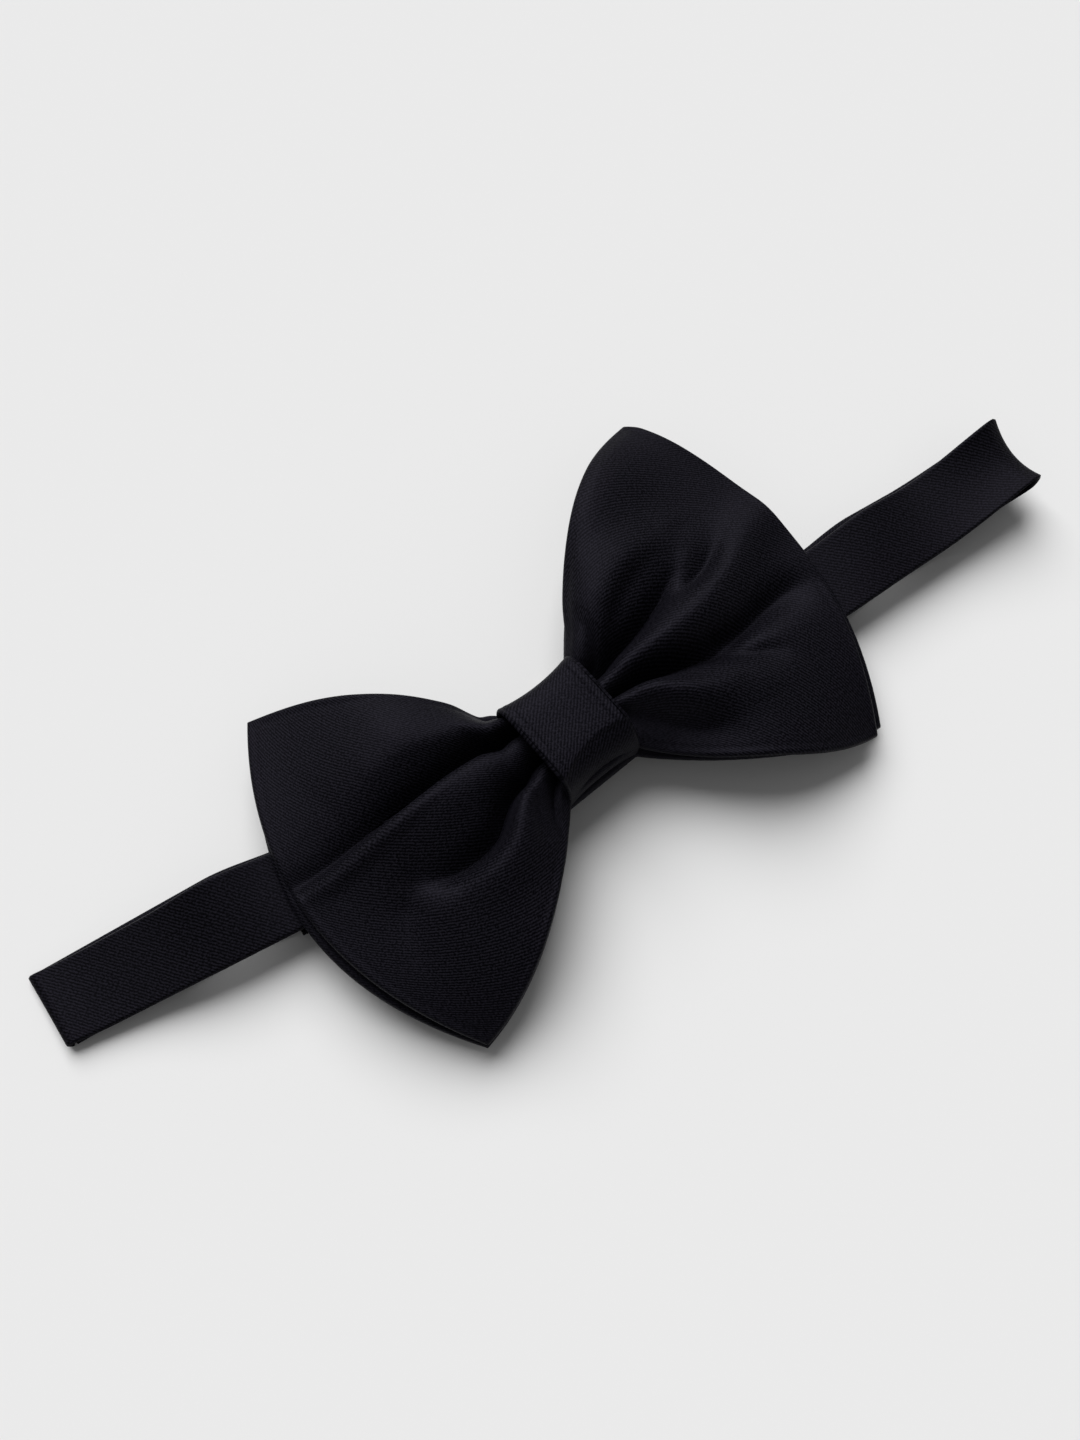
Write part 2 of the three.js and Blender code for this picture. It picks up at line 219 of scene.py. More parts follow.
def quads(rows: int, columns: int, start: int = 0, flip: bool = False) -> list[tuple[int, ...]]:
    """List the faces of a grid of vertices.

    Args:
        rows: Number of vertex rows.
        columns: Number of vertices in a row.
        start: Number of the first vertex.
        flip: Whether to turn the faces over.

    Returns:
        Four vertex numbers for each face.
    """
    faces = []
    for i in range(rows - 1):
        for j in range(columns - 1):
            a = start + i * columns + j
            face = (a, a + 1, a + columns + 1, a + columns)
            faces.append(face[::-1] if flip else face)
    return faces


# ---- Finishes ----


@dataclass(frozen=True)
class SatinTwill:
    """Polyester satin with a steep twill back-weave, piece-dyed black and pressed.

    Long floats lie side by side on the face, which gives a soft, low sheen with fine slanted lines in it.
    """

    name: str
    colour: str
    ridge_colour: str
    roughness: float = 0.52
    line_pitch_mm: float = 0.6  # the real lines are near 0.5 mm apart: drawn coarser so that they show
    line_angle: float = math.radians(-45)
    fleck_mm: float = 0.42
    cloud_mm: float = 14.0  # size of the patches that handling has dulled or polished
    fleck_share: float = 0.8

    def material(self) -> bpy.types.Material:
        """Build the cloth's material.

        Returns:
            The material.
        """
        made, tree = empty_material(self.name)
        grain = add_node(tree, "ShaderNodeUVMap", {"uv_map": WEAVE_UV})
        turned = add_node(
            tree,
            "ShaderNodeMapping",
            inputs={"Vector": grain.outputs["UV"], "Rotation": (0.0, 0.0, self.line_angle)},
        )
        lines = add_node(
            tree,
            "ShaderNodeTexWave",
            {"wave_type": "BANDS", "bands_direction": "X", "wave_profile": "SIN"},
            {
                "Vector": turned.outputs["Vector"],
                "Scale": WAVE_PERIOD / (self.line_pitch_mm * MM),
                "Distortion": 1.1,
                "Detail": 2.0,
                "Detail Scale": 1.6,
            },
        )
        flecks = add_node(
            tree,
            "ShaderNodeTexNoise",
            inputs={"Vector": turned.outputs["Vector"], "Scale": 1 / (self.fleck_mm * MM), "Detail": 3.0},
        )
        clouds = add_node(
            tree,
            "ShaderNodeTexNoise",
            inputs={"Vector": grain.outputs["UV"], "Scale": 1 / (self.cloud_mm * MM), "Detail": 2.0},
        )
        weave = add_node(
            tree,
            "ShaderNodeMix",
            {"data_type": "FLOAT"},
            {0: self.fleck_share, 2: lines.outputs["Fac"], 3: flecks.outputs["Fac"]},
        )
        shade = add_node(
            tree,
            "ShaderNodeMapRange",
            inputs={"Value": weave.outputs[0], "From Min": 0.43, "From Max": 0.62},
        )
        cloth = add_node(
            tree,
            "ShaderNodeMix",
            {"data_type": "RGBA"},
            {0: shade.outputs["Result"], 6: linear(self.colour), 7: linear(self.ridge_colour)},
        )
        worn = add_node(
            tree,
            "ShaderNodeMapRange",
            inputs={
                "Value": clouds.outputs["Fac"],
                "To Min": self.roughness - 0.06,
                "To Max": self.roughness + 0.08,
            },
        )
        bump = add_node(
            tree,
            "ShaderNodeBump",
            inputs={"Height": weave.outputs[0], "Strength": 0.8, "Distance": 0.12 * MM},
        )
        shader = add_node(
            tree,
            "ShaderNodeBsdfPrincipled",
            inputs={
                "Base Color": cloth.outputs[2],
                "Roughness": worn.outputs["Result"],
                "Normal": bump.outputs["Normal"],
                "IOR": 1.5,
                "Specular IOR Level": 0.055,  # fibres hide much of each other's gloss
                "Sheen Weight": 0.02,
                "Sheen Roughness": 0.4,
                "Specular Tint": linear("#e4deff"),  # the dye still colours the gloss a little
                "Sheen Tint": linear("#8f8cab"),
            },
        )
        add_node(tree, "ShaderNodeOutputMaterial", inputs={"Surface": shader.outputs["BSDF"]})
        return made


@dataclass(frozen=True)
class NickelPlate:
    """Nickel-plated pressed steel, barrel-polished: a warm grey mirror broken by fine tumbling marks."""

    name: str = "nickel_plated_steel_tumbled"
    colour: str = "#c9c4ba"
    dull_colour: str = "#a39d92"
    roughness: float = 0.24
    mark_mm: float = 0.6

    def material(self) -> bpy.types.Material:
        """Build the plated metal's material.

        Returns:
            The material.
        """
        made, tree = empty_material(self.name)
        place = add_node(tree, "ShaderNodeTexCoord")
        marks = add_node(
            tree,
            "ShaderNodeTexNoise",
            inputs={"Vector": place.outputs["Object"], "Scale": 1 / (self.mark_mm * MM), "Detail": 4.0},
        )
        tone = add_node(
            tree,
            "ShaderNodeMix",
            {"data_type": "RGBA"},
            {0: marks.outputs["Fac"], 6: linear(self.colour), 7: linear(self.dull_colour)},
        )
        gloss = add_node(
            tree,
            "ShaderNodeMapRange",
            inputs={
                "Value": marks.outputs["Fac"],
                "To Min": self.roughness - 0.08,
                "To Max": self.roughness + 0.14,
            },
        )
        bump = add_node(
            tree,
            "ShaderNodeBump",
            inputs={"Height": marks.outputs["Fac"], "Strength": 0.12, "Distance": 0.03 * MM},
        )
        shader = add_node(
            tree,
            "ShaderNodeBsdfPrincipled",
            inputs={
                "Base Color": tone.outputs[2],
                "Metallic": 1.0,
                "Roughness": gloss.outputs["Result"],
                "Normal": bump.outputs["Normal"],
            },
        )
        add_node(tree, "ShaderNodeOutputMaterial", inputs={"Surface": shader.outputs["BSDF"]})
        return made


@dataclass(frozen=True)
class SpunThread:
    """Spun polyester sewing thread, dyed black: round, a little fuzzy, with the two plies' twist showing."""

    name: str = "spun_polyester_thread"
    colour: str = "#0d0d11"
    ply_colour: str = "#24232c"
    twist_mm: float = 0.5

    def material(self) -> bpy.types.Material:
        """Build the thread's material.

        Returns:
            The material.
        """
        made, tree = empty_material(self.name)
        place = add_node(tree, "ShaderNodeTexCoord")
        twist = add_node(
            tree,
            "ShaderNodeTexWave",
            {"wave_type": "BANDS", "bands_direction": "DIAGONAL"},
            {
                "Vector": place.outputs["Object"],
                "Scale": WAVE_PERIOD / (self.twist_mm * MM),
                "Distortion": 0.6,
            },
        )
        tone = add_node(
            tree,
            "ShaderNodeMix",
            {"data_type": "RGBA"},
            {0: twist.outputs["Fac"], 6: linear(self.colour), 7: linear(self.ply_colour)},
        )
        bump = add_node(
            tree,
            "ShaderNodeBump",
            inputs={"Height": twist.outputs["Fac"], "Strength": 0.6, "Distance": 0.05 * MM},
        )
        shader = add_node(
            tree,
            "ShaderNodeBsdfPrincipled",
            inputs={
                "Base Color": tone.outputs[2],
                "Roughness": 0.6,
                "Specular IOR Level": 0.3,
                "Normal": bump.outputs["Normal"],
            },
        )
        add_node(tree, "ShaderNodeOutputMaterial", inputs={"Surface": shader.outputs["BSDF"]})
        return made


# ---- Bow ----


@dataclass(frozen=True)
class Fold:
    """A ridge or a valley that runs across a wing.

    Its path is given on the wing: along is 0 at the knot and 1 at the outer edge, across is -1 at the lower
    edge and 1 at the upper edge. Heights are in millimetres, at even steps down the path, and below 0 in a
    valley. The flanks towards the upper and the lower edge have their own widths, at the path's two ends.
    """

    path: tuple[tuple[float, float], ...]
    heights: tuple[float, ...]
    upper_mm: tuple[float, float]
    lower_mm: tuple[float, float]

    def lift(self, blade: "Blade", side: "Wing", x: np.ndarray, y: np.ndarray) -> np.ndarray:
        """Work out how far the fold lifts the cloth.

        Args:
            blade: The blade that the fold is in.
            side: The wing that it is on.
            x: Positions along the bow, in millimetres.
            y: Positions across the bow.

        Returns:
            The lift in millimetres.
        """
        along, across = curve(self.path).T
        path = np.stack(blade.outline_point(side, along, across), -1)
        heading = np.gradient(path, axis=0)
        heading /= np.linalg.norm(heading, axis=1, keepdims=True)
        gap_x = x[..., None] - path[:, 0]
        gap_y = y[..., None] - path[:, 1]
        squared = gap_x**2 + gap_y**2
        nearest = np.argmin(squared, axis=-1)
        distance = np.sqrt(np.take_along_axis(squared, nearest[..., None], -1)[..., 0])
        # A path runs outwards, so on the right wing the upper flank is on its left, and the other way round.
        cross = heading[nearest, 0] * (y - path[nearest, 1]) - heading[nearest, 1] * (x - path[nearest, 0])
        is_upper = cross * side.value > 0
        share = nearest / (len(path) - 1)
        width = np.where(is_upper, lerp(*self.upper_mm, share), lerp(*self.lower_mm, share))
        height = np.interp(share, np.linspace(0, 1, len(self.heights)), self.heights)
        # A ridge is round on top, and a valley comes closer to a V.
        sharpness = np.where(height > 0, 2.0, 1.6)
        return height * np.exp(-((distance / width) ** sharpness))


@dataclass(frozen=True)
class WingOutline:
    """The outline of one wing, in millimetres from the middle of the knot."""

    upper_corner: tuple[float, float]
    lower_corner: tuple[float, float]
    bulge: float
    upper_fan: float = 0.85  # how quickly the edge spreads as it leaves the knot: 0 is a straight edge
    lower_fan: float = 0.85
    upper_dip_mm: float = 0.0  # a notch in the upper edge, just outside the knot
    folds: tuple[Fold, ...] = ()


FRONT_LEFT_FOLDS = (
    # The small bundle under the upper edge, and the soft swell of the sheet beyond it.
    Fold(((-0.02, 0.72), (0.06, 0.67), (0.15, 0.64)), (2.4, 2.6, 1.0), (1.4, 2.0), (0.9, 1.2)),
    Fold(((0.02, 0.84), (0.07, 0.88), (0.12, 1.0)), (-1.6, -1.6, -1.0), (1.0, 1.2), (1.0, 1.2)),
    Fold(((0.3, 0.95), (0.45, 0.75), (0.62, 0.5)), (0.9, 1.0, 0.4), (5.0, 6.0), (6.0, 7.0)),
    Fold(
        ((0.02, 0.7), (0.2, 0.62), (0.38, 0.56), (0.55, 0.47), (0.74, 0.38)),
        (0.8, 2.0, 2.2, 1.8, 0.5),
        (5.0, 9.0),
        (2.2, 5.0),
    ),
    # The long upper valley: a wide slope down from the sheet, then a short steep face.
    Fold(
        ((-0.04, 0.5), (0.16, 0.34), (0.37, 0.235), (0.5, 0.19), (0.66, 0.15), (0.86, 0.12), (1.0, 0.13)),
        (-4.4, -6.2, -6.8, -6.0, -4.0, -2.6, -1.6),
        (2.0, 2.9),
        (1.0, 1.2),
    ),
    # The rolled crest that the steep face ends in.
    Fold(
        ((0.05, 0.34), (0.18, 0.26), (0.4, 0.17), (0.63, 0.1), (0.87, 0.075), (0.98, 0.08)),
        (0.4, 1.3, 1.8, 1.9, 1.7, 0.9),
        (1.2, 1.6),
        (1.4, 2.2),
    ),
    # The middle sheet between the two valleys.
    Fold(
        ((0.0, 0.22), (0.14, 0.12), (0.34, 0.08), (0.58, 0.06), (0.85, 0.02)),
        (1.6, 2.6, 3.0, 2.4, 0.8),
        (2.6, 4.0),
        (3.0, 7.0),
    ),
    # The lower valley, which bends away towards the lower corner and comes back.
    Fold(
        (
            (-0.04, -0.17),
            (0.09, -0.2),
            (0.2, -0.29),
            (0.29, -0.38),
            (0.4, -0.38),
            (0.51, -0.34),
            (0.61, -0.25),
        ),
        (-4.0, -5.8, -6.4, -6.6, -6.0, -4.0, -0.8),
        (1.6, 3.6),
        (1.1, 2.0),
    ),
    Fold(
        ((0.02, -0.3), (0.12, -0.35), (0.21, -0.47), (0.3, -0.56), (0.42, -0.54), (0.54, -0.46)),
        (1.6, 2.6, 3.0, 2.6, 1.8, 0.4),
        (1.4, 3.0),
        (2.2, 6.0),
    ),
    Fold(((0.6, -0.2), (0.72, -0.3), (0.81, -0.47)), (-0.6, -1.3, -0.5), (3.0, 3.0), (2.4, 3.5)),
    # Small puckers by the knot's lower end.
    Fold(((0.08, -0.4), (0.14, -0.55), (0.18, -0.74)), (-1.2, -1.5, -0.5), (1.0, 1.2), (1.2, 1.4)),
    Fold(
        ((-0.02, -0.6), (0.06, -0.66), (0.11, -0.8), (0.14, -0.97)),
        (-2.4, -2.2, -1.8, -0.8),
        (1.3, 1.6),
        (1.1, 1.6),
    ),
)
FRONT_RIGHT_FOLDS = (
    # The rolled left-hand side, from which the sheet falls away towards the first valley.
    Fold(((0.1, 0.72), (0.35, 0.88), (0.7, 0.93), (1.0, 0.9)), (1.0, 2.4, 4.0, 3.4), (3.0, 5.0), (3.0, 15.0)),
    # The pinched pleat under the upper edge.
    Fold(
        ((0.0, 0.5), (0.07, 0.48), (0.12, 0.6), (0.15, 0.8)),
        (-2.4, -2.2, -1.6, -0.4),
        (1.4, 2.0),
        (0.9, 1.2),
    ),
    Fold(((0.02, 0.8), (0.12, 0.86), (0.3, 0.8)), (1.4, 1.2, 0.5), (2.0, 4.0), (2.0, 5.0)),
    Fold(
        ((0.06, 0.5), (0.26, 0.57), (0.43, 0.55), (0.6, 0.47)),
        (1.2, 2.6, 2.4, 0.6),
        (4.0, 6.0),
        (1.6, 2.6),
    ),
    # The upper valley, and the thin second one that branches from its end.
    Fold(
        ((0.0, 0.34), (0.1, 0.28), (0.2, 0.23), (0.31, 0.21), (0.43, 0.23), (0.55, 0.28)),
        (-4.4, -6.4, -7.4, -7.0, -5.0, -1.2),
        (1.5, 3.0),
        (1.0, 1.6),
    ),
    Fold(
        ((0.46, 0.15), (0.57, 0.14), (0.66, 0.16), (0.76, 0.22)),
        (-1.0, -3.4, -3.2, -0.8),
        (2.2, 3.0),
        (1.6, 2.2),
    ),
    # The broad ridge that reaches the outer edge.
    Fold(
        ((0.0, 0.09), (0.13, 0.04), (0.31, -0.01), (0.5, -0.01), (0.64, 0.05), (0.86, 0.15), (1.0, 0.19)),
        (2.0, 2.8, 3.0, 2.8, 2.6, 2.0, 1.2),
        (2.4, 5.0),
        (2.0, 5.5),
    ),
    # The lower valley: its first half, and the half that steps up towards the ridge.
    Fold(
        ((0.0, -0.08), (0.1, -0.09), (0.26, -0.2), (0.41, -0.27), (0.53, -0.29)),
        (-4.4, -5.8, -6.6, -6.0, -3.0),
        (1.5, 2.9),
        (1.1, 1.9),
    ),
    Fold(
        ((0.48, -0.23), (0.6, -0.24), (0.72, -0.21), (0.84, -0.2), (0.94, -0.22)),
        (-3.0, -5.6, -5.4, -3.2, -0.8),
        (2.2, 2.8),
        (2.0, 4.4),
    ),
    Fold(
        ((0.43, -0.31), (0.52, -0.36), (0.62, -0.41), (0.72, -0.48)),
        (-1.4, -2.8, -2.2, -0.4),
        (1.4, 2.2),
        (2.0, 3.0),
    ),
    # The crest below it, from which the cloth falls away towards the lower edge.
    Fold(
        ((0.0, -0.22), (0.07, -0.24), (0.17, -0.34), (0.25, -0.46), (0.36, -0.53), (0.5, -0.54)),
        (2.0, 2.8, 3.4, 3.2, 2.4, 0.6),
        (1.4, 3.4),
        (2.2, 5.0),
    ),
    Fold(
        ((0.08, -0.44), (0.18, -0.68), (0.3, -0.76), (0.42, -0.7)),
        (-2.0, -3.6, -3.4, -0.8),
        (2.4, 5.0),
        (6.0, 8.0),
    ),
)


@dataclass
class Blade:
    """One blade: two satin panels sewn round an interlining, turned, pressed and gathered at the waist."""

    layer: Layer
    left: WingOutline
    right: WingOutline
    waist_z_mm: float
    middle_z_mm: float
    edge_z_mm: float
    upper_drop_mm: float
    lower_drop_mm: float
    thickness_mm: float = 1.3
    edge_round_mm: float = 0.75
    deepest_mm: float = 8.0
    waist_roll_mm: float = 3.2
    usual_reach_mm: float = 50.0
    bead_mm: float = 0.12
    seam_step_mm: float = 0.06
    softening: int = 2
    waist_half_mm: float = 10.6
    knot_half_mm: float = 8.5
    steps_along: int = 121
    steps_across: int = 141
    nodes: tuple[str, ...] = ()

    def outline_point(
        self, side: Wing, along: np.ndarray, across: np.ndarray
    ) -> tuple[np.ndarray, np.ndarray]:
        """Find where a point of a wing lies, seen from above.

        Args:
            side: The wing.
            along: Share of the way from the knot to the outer edge. Below 0 is inside the knot.
            across: -1 at the lower edge to 1 at the upper edge.

        Returns:
            The positions along the bow and across it, in millimetres.
        """
        outline = self.left if side is Wing.LEFT else self.right
        outward = np.clip(along, 0, 1)
        spread = 1 - (1 - outward) ** 2
        top_x = lerp(self.knot_half_mm, outline.upper_corner[0], along)
        low_x = lerp(self.knot_half_mm, outline.lower_corner[0], along)
        top_y = lerp(self.waist_half_mm, outline.upper_corner[1], lerp(outward, spread, outline.upper_fan))
        low_y = lerp(-self.waist_half_mm, outline.lower_corner[1], lerp(outward, spread, outline.lower_fan))
        top_y = top_y - outline.upper_dip_mm * bell(outward, 0.09, 0.05)
        share = (across + 1) / 2
        x = lerp(low_x, top_x, share) + outline.bulge * (1 - across**2) * outward
        return side.value * x, lerp(low_y, top_y, share)

    def wing(self, side: Wing, along: np.ndarray, across: np.ndarray) -> tuple[np.ndarray, np.ndarray]:
        """Place points on a wing's middle surface.

        Args:
            side: The wing.
            along: Share of the way from the knot to the outer edge. Below 0 is inside the knot.
            across: -1 at the lower edge to 1 at the upper edge.

        Returns:
            The points in millimetres from the knot's middle, and the distance to the nearest sewn edge.
        """
        outline = self.left if side is Wing.LEFT else self.right
        x, y = self.outline_point(side, along, across)
        lift = sum((fold.lift(self, side, x, y) for fold in outline.folds), np.zeros_like(x))
        for _ in range(self.softening):
            lift = soften(soften(lift).T).T
        lift = np.where(lift < 0, self.deepest_mm * np.tanh(lift / self.deepest_mm), lift)
        # Next to the knot both sewn edges roll under.
        roll = self.waist_roll_mm * (1 - smoothstep(0.0, 0.55, along)) * np.abs(across) ** 5
        z = self.height(along, across) + lift - roll
        outer_x, _ = self.outline_point(side, np.ones_like(along), across)
        upper_y = self.outline_point(side, along, np.ones_like(across))[1]
        lower_y = self.outline_point(side, along, -np.ones_like(across))[1]
        to_edge = np.minimum(np.minimum(upper_y - y, y - lower_y), np.abs(outer_x - x))
        return np.stack([x, y, z], -1), to_edge

    def height(self, along: np.ndarray, across: np.ndarray) -> np.ndarray:
        """Give the blade's smooth height before its folds, in millimetres."""
        outward = np.clip(along, 0, 1)
        spine = (
            lerp(self.waist_z_mm, self.edge_z_mm, smoothstep(0.1, 1.0, outward))
            + (self.middle_z_mm - self.waist_z_mm) * np.sin(np.pi * outward) ** 2
        )
        drop = np.where(across < 0, self.lower_drop_mm, self.upper_drop_mm)
        return spine - drop * np.abs(across) ** 2.5 * outward**1.5

    def build(self, centre: Vector) -> bpy.types.Object:
        """Build the blade as one closed shell.

        Args:
            centre: The middle of the knot on the table.

        Returns:
            The blade's object.
        """
        spread = np.linspace(-1, 1, 2 * self.steps_along - 1)
        # Both grids are finer towards the sewn edges, where the cloth turns.
        outward = np.abs(spread)
        outward = 0.6 * outward + 0.4 * np.sin(outward * np.pi / 2)
        inside = self.knot_half_mm / (self.usual_reach_mm - self.knot_half_mm)
        along = outward * (1 + inside) - inside
        rank = np.linspace(-1, 1, self.steps_across)
        across = 0.6 * rank + 0.4 * np.sin(rank * np.pi / 2)
        grid_along, grid_across = np.meshgrid(along, across, indexing="ij")
        left, left_edge = self.wing(Wing.LEFT, grid_along, grid_across)
        right, right_edge = self.wing(Wing.RIGHT, grid_along, grid_across)
        is_right = (spread > 0)[:, None]
        middle = np.where(is_right[..., None], right, left)
        to_edge = np.where(is_right, right_edge, left_edge)
        share = np.clip(to_edge / self.edge_round_mm, 0, 1)
        half = self.thickness_mm / 2 * np.sqrt(1 - (1 - share) ** 2)
        # The turned edge rolls into a low bead, and the seam allowance stops a little way inside it.
        half = half + self.bead_mm * bell(to_edge, 0.8, 0.4) - self.seam_step_mm * bell(to_edge, 1.9, 0.4)
        normal = self.normals(middle)
        top = middle + normal * half[..., None]
        under = middle - normal * half[..., None]
        rows, columns = grid_along.shape
        count = rows * columns
        points = np.concatenate([top.reshape(-1, 3), under.reshape(-1, 3)])
        numbers = np.arange(count).reshape(rows, columns)
        below = numbers + count
        below[0], below[-1] = numbers[0], numbers[-1]
        below[:, 0], below[:, -1] = numbers[:, 0], numbers[:, -1]
        faces = quads(rows, columns)
        upper_to_lower = np.concatenate([numbers.ravel(), below.ravel()])
        faces = [f[::-1] for f in faces] + [
            tuple(int(upper_to_lower[n + count]) for n in f) for f in faces
        ]
        half_long, half_wide = (size / 2 for size in BLADE_FLAT_MM)
        weave = np.stack([spread[:, None] * half_long + 0 * grid_across, grid_across * half_wide], -1) * MM
        weave = np.concatenate([weave.reshape(-1, 2)] * 2)
        made = new_mesh(f"{self.layer.value}_blade", bow_to_row(points, centre), faces, weave)
        tidy_loose(made)
        return made

    def normals(self, points: np.ndarray) -> np.ndarray:
        """Give the unit normal of a grid of points, pointing up."""
        du = np.gradient(points, axis=0)
        dv = np.gradient(points, axis=1)
        normal = np.cross(du, dv)
        return normal / np.maximum(np.linalg.norm(normal, axis=-1, keepdims=True), 1e-9)


def tidy_loose(made: bpy.types.Object) -> None:
    """Remove the vertices that no face uses."""
    mesh = made.data
    used = np.zeros(len(mesh.vertices), bool)
    corners = np.zeros(len(mesh.loops), np.int32)
    mesh.loops.foreach_get("vertex_index", corners)
    used[corners] = True
    work = bmesh.new()
    work.from_mesh(mesh)
    work.verts.ensure_lookup_table()
    bmesh.ops.delete(work, geom=[work.verts[i] for i in np.flatnonzero(~used)], context="VERTS")
    work.to_mesh(mesh)
    work.free()


def bow_to_row(points: np.ndarray, centre: Vector) -> np.ndarray:
    """Turn points from the bow's own millimetres into the row frame.

    Args:
        points: Points along the bow, across it and up, in millimetres from the knot's middle on the table.
        centre: The knot's middle on the table, in metres.

    Returns:
        The points in metres in the row frame.
    """
    cos, sin = math.cos(BOW_TURN), math.sin(BOW_TURN)
    x = points[..., 0] * cos - points[..., 1] * sin
    y = points[..., 0] * sin + points[..., 1] * cos
    return np.stack([x, y, points[..., 2]], -1) * MM + np.array([centre.x, centre.y, 0.0])


@dataclass
class Knot:
    """The wrap: a folded strip of the bow's cloth, drawn tight round the waist and sewn behind."""

    half_length_mm: float = 8.2
    half_height_mm: float = 10.9
    low_z_mm: float = 5.3
    high_z_mm: float = 21.3
    waist_mm: float = 0.8
    cloth_mm: float = 1.3
    corner_power: float = 0.5
    lap_mm: float = 0.4  # the step where one turn of the strip lies over the other
    lap_slope: float = 0.5
    hem_ridge_mm: float = 0.16
    steps_round: int = 256
    steps_along: int = 61

    def section(self, along: np.ndarray, turn: np.ndarray) -> np.ndarray:
        """Place points on the wrap's outer surface.

        Args:
            along: -1 at the wrap's left edge to 1 at its right edge.
            turn: Angle round the wrap, 0 at the upper side and a quarter turn at the top.

        Returns:
            The points in millimetres.
        """
        flare = along**2
        half_y = self.half_height_mm - self.waist_mm * (1 - flare)
        high = self.high_z_mm - 0.9 * self.waist_mm * (1 - flare)
        half_z = (high - self.low_z_mm) / 2
        middle_z = (high + self.low_z_mm) / 2
        cos, sin = np.cos(turn), np.sin(turn)
        y = half_y * np.sign(cos) * np.abs(cos) ** self.corner_power
        z = middle_z + half_z * np.sign(sin) * np.abs(sin) ** self.corner_power
        # The front face ends at a soft crease that sags towards the left edge. The cloth falls away below it.
        crease = -5.6 - 2.0 * along**2 + 1.0 * along
        below = np.maximum(crease - y, 0.0)
        fall = self.lap_slope * (np.sqrt(below**2 + 0.5) - math.sqrt(0.5))
        step = self.lap_mm * smoothstep(0.0, 0.7, below)
        upper = smoothstep(middle_z, middle_z + 4.0, z)
        hem = self.hem_ridge_mm * np.exp(-(((1 - np.abs(along)) * self.half_length_mm - 1.3) / 0.3) ** 2)
        return np.stack([self.half_length_mm * along, y, z - (fall + step - hem) * upper], -1)

    def build(self, centre: Vector) -> bpy.types.Object:
        """Build the wrap as a closed ring with folded edges.

        Args:
            centre: The middle of the knot on the table.

        Returns:
            The wrap's object.
        """
        turn = np.linspace(0, 2 * math.pi, self.steps_round, endpoint=False)
        lap = np.linspace(-math.pi / 2, math.pi / 2, 9)
        half = self.cloth_mm / 2
        out = np.linspace(-1, 1, self.steps_along)
        # Once round the strip's own section: out along the face, round the fold, and back underneath.
        along = np.concatenate([out, 1 + 0 * lap, out[::-1], -1 + 0 * lap])
        face, lining = 0 * out, self.cloth_mm + 0 * out
        inward = np.concatenate([face, half * (1 + np.sin(lap)), lining, half * (1 - np.sin(lap))])
        bulge = np.concatenate([0 * out, half * np.cos(lap), 0 * out, -half * np.cos(lap)])
        grid_along, grid_turn = np.meshgrid(along, turn, indexing="ij")
        outer = self.section(grid_along, grid_turn)
        middle = np.array([0, 0, (self.high_z_mm + self.low_z_mm) / 2])
        towards = (middle - outer) * np.array([0, 1, 1])
        towards /= np.linalg.norm(towards, axis=-1, keepdims=True)
        points = outer + towards * inward[:, None, None]
        points[..., 0] += bulge[:, None]
        rows, columns = grid_along.shape
        numbers = np.arange(rows * columns).reshape(rows, columns)
        faces = []
        for i in range(rows):
            for j in range(columns):
                a, b = numbers[i], numbers[(i + 1) % rows]
                k = (j + 1) % columns
                faces.append((int(a[j]), int(b[j]), int(b[k]), int(a[k])))
        round_once = self.section(np.zeros_like(turn), turn)
        stride = np.linalg.norm(np.diff(round_once, axis=0, prepend=round_once[-1:]), axis=1)
        girth = np.broadcast_to(np.cumsum(stride), grid_turn.shape)
        weave = np.stack([grid_along * self.half_length_mm, girth], -1).reshape(-1, 2) * MM
        return new_mesh("knot_wrap_cloth", bow_to_row(points.reshape(-1, 3), centre), faces, weave)


@dataclass
class Bow:
    """The bow: two blades and the knot that holds them."""

    cloth: bpy.types.Material
    thread: bpy.types.Material

    def centre(self) -> Vector:
        """Find the middle of the knot, on the table."""
        low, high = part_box("knot_wrap")
        return Vector(((low.x + high.x) / 2, (low.y + high.y) / 2, 0))

    def blades(self) -> list[Blade]:
        """List the two blades with their sizes."""
        front = Blade(
            Layer.FRONT,
            WingOutline((45.2, 42.4), (48.0, -34.6), 12.5, 0.62, 0.85, 1.8, FRONT_LEFT_FOLDS),
            WingOutline((52.9, 44.4), (47.6, -37.4), 11.6, 0.85, 0.85, 0.6, FRONT_RIGHT_FOLDS),
            waist_z_mm=16.2,
            middle_z_mm=18.0,
            edge_z_mm=11.8,
            upper_drop_mm=3.2,
            lower_drop_mm=6.4,
            nodes=("front_blade_face", "front_blade_interlining", "front_blade_lining"),
        )
        back = Blade(
            Layer.BACK,
            WingOutline((44.2, 40.8), (48.2, -34.6), 14.4, 0.58, 0.8),
            WingOutline((52.0, 42.0), (50.6, -36.2), 11.2, 0.8, 0.8),
            waist_z_mm=10.0,
            middle_z_mm=10.2,
            edge_z_mm=9.2,
            upper_drop_mm=3.6,
            lower_drop_mm=6.8,
            nodes=("back_blade_face", "back_blade_interlining", "back_blade_lining"),
        )
        return [front, back]

    def build(self) -> None:
        """Build and dress the blades, the wrap and the thread."""
        centre = self.centre()
        for blade in self.blades():
            made = blade.build(centre)
            made.data.materials.append(self.cloth)
            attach(made, "bow_and_band")
            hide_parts(*blade.nodes)
            LOG.info("built %s", made.name)
        wrap = Knot().build(centre)
        wrap.data.materials.append(self.cloth)
        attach(wrap, "bow_and_band")
        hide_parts("knot_wrap", "knot_interlining")
        LOG.info("built %s", wrap.name)
        for name in ("waist_thread", "knot_back_stitch"):
            dress(name, self.thread)


